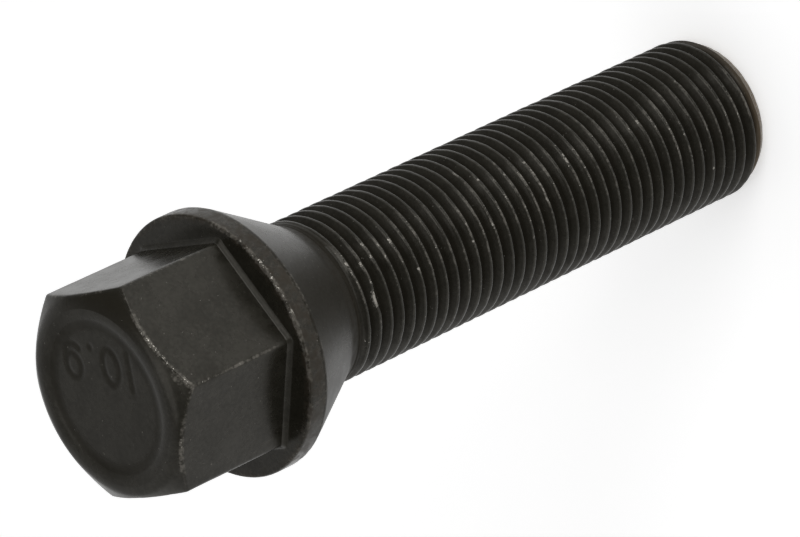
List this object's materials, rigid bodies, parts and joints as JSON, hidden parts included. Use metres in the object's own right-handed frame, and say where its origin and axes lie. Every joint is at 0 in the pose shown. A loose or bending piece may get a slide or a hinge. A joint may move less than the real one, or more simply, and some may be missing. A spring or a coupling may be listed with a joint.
{
  "type": "wheel bolt",
  "caption": "Long black steel wheel bolt with a hexagon head, a round collar, a conical seat and a fine metric thread.",
  "frame": {"origin": "centre of the shank's end face, on which the bolt stands", "axes": "+Z along the bolt's axis from the shank's end to the head, with two corners of the hexagon on the Y axis"},
  "size_m": [0.0222, 0.0222, 0.0689],
  "materials": {
    "black_steel": "satin"
  },
  "bodies": {
    "root": {"wheel_bolt": "black_steel"}
  },
  "joints": []
}
